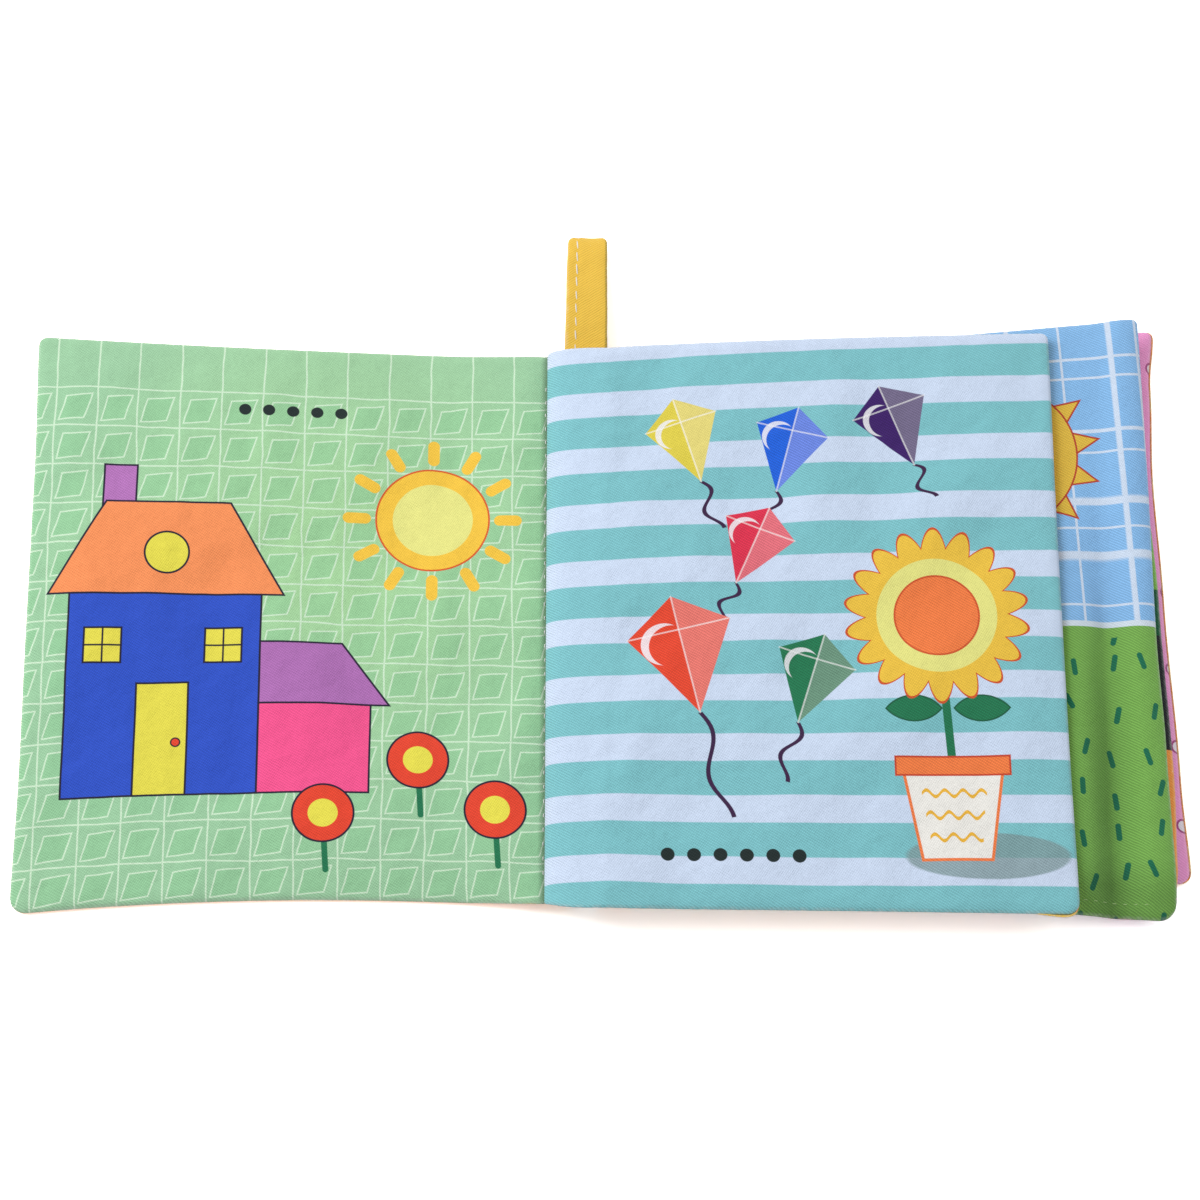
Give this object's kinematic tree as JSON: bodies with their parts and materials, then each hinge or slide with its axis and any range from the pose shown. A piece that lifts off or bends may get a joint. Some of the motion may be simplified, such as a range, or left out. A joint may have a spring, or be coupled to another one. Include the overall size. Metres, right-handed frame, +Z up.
{
  "type": "crinkle cloth book",
  "caption": "Soft cloth book lying open, with padded square leaves sewn into a taped spine and a strap loop at the top of the spine.",
  "frame": {"origin": "middle of the spine binding's length and width, on the surface that the open book lies on", "axes": "+X towards the free edge of the leaves stacked on the right, +Y towards the top of the pages and the hanging loop, +Z up out of the pages"},
  "size_m": [0.309, 0.195, 0.0163],
  "materials": {
    "front_cover_upper_cloth": "printed twill cloth, pale green with a paler grid",
    "front_cover_lower_cloth": "printed twill cloth, orange",
    "first_leaf_upper_cloth": "printed twill cloth, teal and pale stripes",
    "first_leaf_lower_cloth": "printed twill cloth, yellow",
    "second_leaf_upper_cloth": "printed twill cloth, blue check over grass green",
    "second_leaf_lower_cloth": "printed twill cloth, pink",
    "third_leaf_upper_cloth": "printed twill cloth, leaf green",
    "third_leaf_lower_cloth": "printed twill cloth, teal",
    "back_cover_upper_cloth": "printed twill cloth, pink with white dots",
    "back_cover_lower_cloth": "printed twill cloth, orange",
    "crinkle_film": "thin crumpled film, glossy",
    "wadding": "soft needled fibre sheet",
    "binding_tape": "woven cotton tape, matt",
    "seam_cloth": "raw layered cloth edges, sewn through",
    "loop_strap": "folded and stitched cloth strap, matt"
  },
  "bodies": {
    "spine": {"spine_binding": "binding_tape", "spine_seam": "seam_cloth", "hanging_loop": "loop_strap"},
    "front_cover": {"front_cover_upper_panel": "front_cover_upper_cloth", "front_cover_lower_panel": "front_cover_lower_cloth", "front_cover_crinkle_film": "crinkle_film", "front_cover_wadding": "wadding", "front_cover_hinge_strip": "front_cover_upper_cloth"},
    "first_leaf": {"first_leaf_upper_panel": "first_leaf_upper_cloth", "first_leaf_lower_panel": "first_leaf_lower_cloth", "first_leaf_crinkle_film": "crinkle_film", "first_leaf_wadding": "wadding", "first_leaf_hinge_strip": "first_leaf_upper_cloth"},
    "second_leaf": {"second_leaf_upper_panel": "second_leaf_upper_cloth", "second_leaf_lower_panel": "second_leaf_lower_cloth", "second_leaf_crinkle_film": "crinkle_film", "second_leaf_wadding": "wadding", "second_leaf_hinge_strip": "second_leaf_upper_cloth"},
    "third_leaf": {"third_leaf_upper_panel": "third_leaf_upper_cloth", "third_leaf_lower_panel": "third_leaf_lower_cloth", "third_leaf_crinkle_film": "crinkle_film", "third_leaf_wadding": "wadding", "third_leaf_hinge_strip": "third_leaf_upper_cloth"},
    "back_cover": {"back_cover_upper_panel": "back_cover_upper_cloth", "back_cover_lower_panel": "back_cover_lower_cloth", "back_cover_crinkle_film": "crinkle_film", "back_cover_wadding": "wadding", "back_cover_hinge_strip": "back_cover_upper_cloth"}
  },
  "joints": [
    {"name": "front_cover_turn", "type": "hinge", "parent": "spine", "child": "front_cover", "pos_m": [0, 0, 0.0101], "axis": [0, 1, 0], "range_deg": [0, 179.5], "deforming": ["front_cover_hinge_strip"]},
    {"name": "back_cover_turn", "type": "hinge", "parent": "spine", "child": "back_cover", "pos_m": [0, 0, 0.0101], "axis": [0, -1, 0], "range_deg": [0, 179.5], "deforming": ["back_cover_hinge_strip"]},
    {"name": "third_leaf_turn", "type": "hinge", "parent": "back_cover", "child": "third_leaf", "pos_m": [0, 0, 0.0101], "axis": [0, -1, 0], "range_deg": [0, 179.5], "deforming": ["third_leaf_hinge_strip"]},
    {"name": "second_leaf_turn", "type": "hinge", "parent": "third_leaf", "child": "second_leaf", "pos_m": [0, 0, 0.0101], "axis": [0, -1, 0], "range_deg": [0, 179.5], "deforming": ["second_leaf_hinge_strip"]},
    {"name": "first_leaf_turn", "type": "hinge", "parent": "second_leaf", "child": "first_leaf", "pos_m": [0, 0, 0.0101], "axis": [0, -1, 0], "range_deg": [0, 179.5], "deforming": ["first_leaf_hinge_strip"]}
  ]
}
